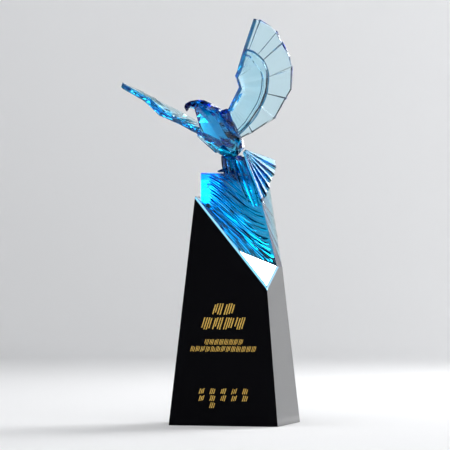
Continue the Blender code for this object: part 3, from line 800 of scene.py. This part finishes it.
def buildWing(name, node, side):
    # Columns run from the start edge over the covert border to the tips; each feather tilts
    # like a shingle, and a notch divides it from the next
    plan = np.array(wing["plan"])
    index = np.arange(len(plan))
    meets = [0] + [n for n in range(len(plan)) if plan[n, 6] == 1] + [len(plan) - 1]
    local = np.array(wing["local"])
    place, x = [], []
    for a, b in zip(meets[:-1], meets[1:]):
        place += (a + (b - a) * local).tolist()
        x += local.tolist()
    place.insert(1, wing["leading"])
    x.insert(1, wing["leading"])
    place, x = map(np.array, zip(*sorted(zip(place + [float(len(plan) - 1)], x + [1.0]))))
    start, border, tip = (
        np.stack([np.interp(place, index, plan[:, n]), np.interp(place, index, plan[:, n + 1])], -1)
        for n in (0, 2, 4))
    inner, outer = border - start, tip - border
    length = np.linalg.norm(inner, axis=-1, keepdims=True)
    inner = inner / length
    outer = outer / np.linalg.norm(outer, axis=-1, keepdims=True)
    sign = (1 - 2 * x)[:, None]
    crown = np.interp(place, index, np.take(wing["crown"], index % 2)) + wing["covert"]
    tilt = wing["tilt"] * sign[:, 0] * (x > 0) * (x < 1)
    fold = wing["fold"] * np.cos(2 * math.pi * x)
    notch = wing["notch"] * ((x == 0) | (x == 1))
    back = np.interp(place, index, wing["inner"])[:, None]
    reach = wing["step"] * sign - wing["stepBack"][0]
    reach[:2] = -wing["stepBack"][1]
    feather = wing["feather"] - notch
    flat = np.zeros(len(place))
    grooveHalf, grooveDeep = wing["groove"]
    rows = [  # the row's line over the plan, half its thickness and its lift
        (start, flat + wing["rim"], flat),
        (start + inner * wing["edgeIn"], flat + wing["edge"], flat),
        (start + inner * wing["crownAt"] * length, wing["crownShare"] * crown, fold),
        (border - inner * (back + grooveHalf), crown, 0.5 * fold),
        (border - inner * back, crown - grooveDeep, flat),
        (border - inner * (back - grooveHalf), crown, flat),
        (border - inner * wing["borderIn"], flat + wing["covert"], flat),
        (border, feather, 0.5 * tilt),
        (border + outer * wing["borderOut"], feather, tilt),
        (tip - outer * wing["tipIn"][0], feather, tilt),
        (tip - outer * wing["tipIn"][1], feather, tilt),
        (tip + outer * reach, np.maximum(wing["thinnest"], wing["rim"] - notch), tilt),
    ]
    spots = np.stack([row[0] for row in rows], 1)
    half = np.stack([row[1] for row in rows], 1)
    raised = np.stack([row[2] for row in rows], 1)
    half[:, 0] = np.maximum(half[:, 0], wing["edge"])
    half[0], raised[0] = side["slab"], 0.0
    half[1, 1:] = 0.5 * (half[1, 1:] + side["slab"])
    half[-1], raised[-1] = wing["root"], 0.0
    top = onWing(side, spots[..., 0], spots[..., 1], raised + half)
    bottom = onWing(side, spots[..., 0], spots[..., 1], raised - half)
    points, faces = plateMesh(top, bottom)
    item = addMesh(name, turned(points), faces)
    addBevel(item, side["bevel"], 14)
    dropSlivers(item)
    item.data.materials.append(wingGlass(name + "Glass", side))
    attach(item, "root")
    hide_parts(node)


buildWing("raised_wing", "wing_near", nearWing)
buildWing("spread_wing", "wing_far", farWing)
print("wings built")


# Eagle body: beak tip first; back side (u, w), chest side (u, w), middle depth v, half depth
body = {
    "rows": [
        (-45.9, 294.0, -44.9, 293.8, -19.0, 0.8), (-47.8, 297.6, -43.2, 296.2, -18.5, 2.2),
        (-46.6, 301.2, -41.6, 297.4, -18.0, 3.8), (-42.0, 303.7, -39.5, 296.9, -17.0, 6.0),
        (-36.3, 304.8, -38.3, 296.1, -15.5, 8.0), (-29.2, 304.7, -37.4, 293.2, -13.5, 9.0),
        (-21.7, 301.3, -36.0, 289.1, -11.5, 10.6), (-13.2, 296.6, -34.6, 284.0, -9.0, 12.2),
        (-5.9, 291.5, -32.9, 277.2, -6.0, 13.0), (0.9, 282.1, -29.1, 267.9, -2.5, 13.0),
        (7.5, 271.0, -21.1, 259.1, 1.0, 11.8), (9.3, 261.7, -11.6, 253.1, 4.0, 9.2),
        (5.2, 255.2, -3.8, 248.8, 6.0, 5.6),
    ],
    "strip": (-0.7, -0.7, -0.7, -0.7, -0.65, -0.2, -0.24, -0.18, -0.15, -0.17, -0.28, -0.3, -0.3),
    "brow": (-0.2, -0.2, -0.2, -0.2, -0.2, 0.0, 0.12, 0.34, 0.38, 0.42, 0.42, 0.42, 0.42),
    "bulge": (0.62, 0.72), "near": (-1.0, -0.97, 0.76),  # depth of strip and brow, bulge's side
    "ring": [(1.0, -0.2), (0.86, 0.5), (0.2, 1.0), (-0.6, 0.9), (-1.0, 0.05)],
    "shoulder": 7.6, "core": 3.0, "heel": 1.5, "bevel": 0.3,
    "slot": (0.9, 1.6, 40.0),  # room beside and over a wing's root, and how far out it is cut
}
tail = {"pivot": (6.8, -6.0, 259.2), "first": (0.317, -0.25, -0.915), "last": (0.775, 0.588, -0.23),
        "blades": 6, "longest": 56.0, "shortest": 40.5, "shorter": 5.3, "slant": 4.0,
        "start": 2.5, "half": 1.5, "thin": (0.8, 0.7), "tip": 3.0, "tilt": 0.9, "rootTilt": 0.25,
        "step": (0.125, 0.0083), "width": (0.1, 0.013), "bevel": 0.25}


def rootSeat(side):
    # Middle of the wing's root edge, the ways along and out of it, and half its length
    root, span, chord, normal = wingAxes(side)
    last = wing["plan"][-1]
    first = root + last[0] * span + last[1] * chord
    second = root + last[4] * span + last[5] * chord
    along = unit(second - first)
    out = np.cross(along, normal)
    if out @ (span + chord) < 0:
        out = -out
    return (first + second) / 2, along, out, normal, np.linalg.norm(second - first) / 2


def shoulderHelper(side):
    # Hull from the wing root to the middle of the body and down to the heel
    middle, along, out, normal, half = rootSeat(side)
    core = [np.array([(a + c) / 2, v, (b + d) / 2]) for a, b, c, d, v, deep in body["rows"][7:10:2]]
    thick = body["shoulder"] / 2
    ring = [middle + a * along - layout["gap"] * out + h * normal
            for a in (-half, half) for h in (-thick, thick)]
    ring += [spot + h * normal for spot in core for h in (-body["core"], body["core"])]
    ring += [np.array(side["heel"]), np.array(side["heel"]) + body["heel"]]
    shape = bmesh.new()
    for spot in turned(ring):
        shape.verts.new(spot)
    bmesh.ops.convex_hull(shape, input=shape.verts[:])
    bmesh.ops.delete(shape, geom=[v for v in shape.verts if not v.link_faces], context="VERTS")
    shape.verts.index_update()
    points = [tuple(v.co) for v in shape.verts]
    faces = [[v.index for v in face.verts] for face in shape.faces]
    shape.free()
    return addMesh("shoulder_helper", points, faces)


def tailAxes():
    # Pivot, first blade, the way the fan opens, its normal, its angle and its middle
    first, last = unit(tail["first"]), unit(tail["last"])
    normal = unit(np.cross(first, last))
    side, middle = np.cross(normal, first), unit(first + last)
    return np.array(tail["pivot"]), first, side, normal, math.acos(float(first @ last)), middle


def buildBody():
    # Loft of faceted rings from the beak to the rump: each ring point is a share of the half
    # height and of the half depth; then the shoulders, and the seats of wings, tail and legs
    rows = np.array(body["rows"])
    count = len(rows)
    strip, brow, side = body["near"]
    front = np.stack([
        np.stack([body["strip"], np.full(count, strip)], -1),
        np.stack([body["brow"], np.full(count, brow)], -1),
        np.stack([np.full(count, side), -np.take(body["bulge"], np.arange(count) % 2)], -1),
    ], 1)
    rest = np.broadcast_to(np.array(body["ring"]), (count, len(body["ring"]), 2))
    ring = np.concatenate([front, rest], 1)
    backU, backW, chestU, chestW, middleV, halfV = rows.T
    middle = np.stack([(backU + chestU) / 2, middleV, (backW + chestW) / 2], -1)
    half = np.stack([(backU - chestU) / 2, 0 * backU, (backW - chestW) / 2], -1)
    deep = np.stack([0 * halfV, halfV, 0 * halfV], -1)
    rings = middle[:, None] + half[:, None] * ring[..., :1] + deep[:, None] * ring[..., 1:]
    points, faces = tubeMesh(rings)
    item = addMesh("faceted_body", turned(points), faces)
    for side in (nearWing, farWing):
        combine(item, shoulderHelper(side), "UNION")
    beside, over, reach = body["slot"]
    for side in (nearWing, farWing):
        spot, along, out, normal, width = rootSeat(side)
        combine(item, boxAt(spot, along, out, normal, width + beside, -layout["gap"], reach,
                            2 * wing["root"] + over), "DIFFERENCE")
    pivot, first, side, normal, spread, centre = tailAxes()
    foot, up, reach = seat["spot"], seat["up"], seat["cut"]
    combine(item, wallBox(pivot + centre * tail["start"], centre, reach[0]), "DIFFERENCE")
    combine(item, wallBox(foot + up * layout["gap"], -up, reach[1]), "DIFFERENCE")
    mergeFlats(item, 1.5)
    addBevel(item, body["bevel"], 16)
    dropSlivers(item)
    item.data.materials.clear()
    item.data.materials.append(blueGlass)
    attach(item, "root")
    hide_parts("eagle_body")


def buildTail():
    # Fan of blades: the angle grows a little faster than the blade's number, and each
    # blade's second edge lies under the next blade
    pivot, first, side, normal, spread, centre = tailAxes()
    step, grow = tail["step"]
    width, wider = tail["width"]
    columns = []
    for k in range(tail["blades"]):
        for end in (0, 1):
            angle = spread * (step * k + grow * k * k + (width + wider * k) * end)
            way = first * math.cos(angle) + side * math.sin(angle)
            begin = (tail["start"] + layout["gap"]) / (way @ centre)
            reach = max(tail["shortest"],
                        tail["longest"] - tail["shorter"] * k - tail["slant"] * end)
            tilt = tail["tilt"] * (1 - 2 * end)
            columns.append([(pivot + way * at, raised, half) for at, raised, half in (
                (begin, tail["rootTilt"] * tilt, tail["thin"][0] * tail["half"]),
                (reach - tail["tip"], tilt, tail["half"]),
                (reach, tilt, tail["thin"][1] * tail["half"]))])
    top, bottom = (
        np.array([[spot + normal * (raised + sign * half) for spot, raised, half in line]
                  for line in columns]) for sign in (1, -1))
    points, faces = plateMesh(top, bottom)
    item = addMesh("fan_tail", turned(points), faces)
    addBevel(item, tail["bevel"], 14)
    dropSlivers(item)
    item.data.materials.append(tailGlass)
    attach(item, "root")
    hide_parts("tail")


buildBody()
buildTail()
print("body and tail built")


# Stage, lights and camera, in metres
stage = {"radius": 3.2, "flat": 1.0, "fillet": 0.9, "high": 1.7, "colour": (0.83, 0.835, 0.845),
         "roughness": 0.85, "cards": (0.004, 0.004, 0.005), "world": (0.06, 0.062, 0.066)}
lights = [  # name, place, what it looks at, size, watts, and whether the glass sees it
    ("overhead", (-0.1, -0.6, 2.0), (0.1, 0.0, 0.1), 1.4, 19.0, False),
    ("wallWash", (2.0, 1.5, 1.2), (1.6, 2.8, 0.5), 0.8, 50.0, False),
    ("floorWash", (0.6, 1.2, 2.0), (0.1, 0.8, 0.0), 1.2, 14.0, False),
    ("frontFill", (0.3, -1.5, 0.9), (0.0, 0.0, 0.1), 0.8, 5.0, False),
    ("backRight", (0.62, 1.15, 0.98), (0.0, 0.0, 0.2), 0.75, 11.0, True),
    ("rightStrip", (1.35, 1.3, 0.35), (0.0, 0.0, 0.25), 0.5, 9.0, True),
    ("frontRight", (1.0, -0.73, 1.6), (0.0, 0.0, 0.2), 0.5, 1.3, True),
    ("leftStrip", (-1.5, -0.2, 0.6), (0.0, 0.0, 0.3), 0.4, 2.0, True),
]
flags = [  # black cards: place, width, height, turn, and whether they show through the glass
    ((0.1, -1.7, 0.5), 2.4, 1.6, 10.0, False),
    ((-1.6, 1.1, 0.5), 0.7, 1.4, 55.0, True),
    ((-1.35, 1.35, 0.6), 1.1, 1.6, 45.0, True),
    ((1.55, 0.55, 0.6), 0.8, 1.2, -65.0, True),
]
view = {"distance": 2.269, "turn": 15.3, "height": 0.1238, "aside": 0.24, "pitch": 1.61,
        "lens": 192.0}


def buildStage():
    # A round floor that curves up into a low wall all the way round
    bend = np.linspace(0, math.pi / 2, 20)
    reach = np.concatenate([[0.001, stage["flat"]],
                            stage["radius"] - stage["fillet"] * (1 - np.sin(bend)),
                            [stage["radius"]]])
    high = np.concatenate([[0.0, 0.0], stage["fillet"] * (1 - np.cos(bend)), [stage["high"]]])
    angle = np.linspace(0, 2 * math.pi, 96, endpoint=False)
    rings = np.stack([reach[:, None] * np.cos(angle), reach[:, None] * np.sin(angle),
                      high[:, None] + 0 * angle], -1)
    faces = gridFaces(len(reach), len(angle), closed=True) + [list(range(len(angle)))]
    mesh = bpy.data.meshes.new("sweep")
    mesh.from_pydata(rings.reshape(-1, 3).tolist(), [], faces)
    mesh.polygons.foreach_set("use_smooth", np.ones(len(mesh.polygons), bool))
    mesh.materials.append(newMaterial("sweepPaper", {
        "Base Color": (*stage["colour"], 1.0), "Roughness": stage["roughness"]})[0])
    linkObject("sweep", mesh)


def buildFlags():
    # Thin black cards that only the glass and the polish see; they give the cut edges
    # their dark lines
    material = newMaterial("flagCloth", {
        "Base Color": (*stage["cards"], 1.0), "Roughness": 1.0, "Specular IOR Level": 0.0})[0]
    for n, (place, width, height, turn, through) in enumerate(flags):
        along = np.array([math.cos(math.radians(turn)), math.sin(math.radians(turn)), 0.0])
        corners = [np.array(place) + a * along * width / 2 + (0, 0, b * height / 2)
                   for a, b in ((-1, -1), (1, -1), (1, 1), (-1, 1))]
        mesh = bpy.data.meshes.new(f"flag_{n}")
        mesh.from_pydata([tuple(corner) for corner in corners], [], [(0, 1, 2, 3)])
        mesh.materials.append(material)
        item = linkObject(f"flag_{n}", mesh)
        item.visible_camera = item.visible_diffuse = item.visible_shadow = False
        item.visible_transmission = through


def addLights():
    # Square soft boxes turned to what they look at, and a dim even room
    for name, place, target, size, watts, seen in lights:
        lamp = bpy.data.lights.new(name, "AREA")
        lamp.shape = "SQUARE"
        lamp.size = size
        lamp.energy = watts
        item = linkObject(name, lamp)
        away = np.subtract(place, target)
        item.location = place
        item.rotation_euler = (math.acos(away[2] / np.linalg.norm(away)), 0.0,
                               math.atan2(away[1], away[0]) + math.pi / 2)
        item.visible_camera = False
        item.visible_glossy = item.visible_transmission = seen
    world = bpy.data.worlds.new("studio")
    world.use_nodes = True
    world.node_tree.nodes["Background"].inputs["Color"].default_value = (*stage["world"], 1.0)
    bpy.context.scene.world = world


def addCamera():
    # A long lens low in front, turned about the trophy and tipped up a little
    turn, away = math.radians(view["turn"]), view["distance"]
    camera = bpy.data.cameras.new("camera")
    camera.lens = view["lens"]
    item = linkObject("camera", camera)
    item.location = (away * math.sin(turn), -away * math.cos(turn), view["height"])
    item.rotation_euler = (math.radians(90 + view["pitch"]), 0.0,
                           turn + math.radians(view["aside"]))
    bpy.context.scene.camera = item


buildStage()
buildFlags()
addLights()
addCamera()
bpy.context.scene.view_settings.view_transform = "Standard"
bpy.context.scene.cycles.max_bounces = 24
bpy.context.scene.cycles.transmission_bounces = 24
bpy.context.scene.cycles.glossy_bounces = 10
print("stage ready")
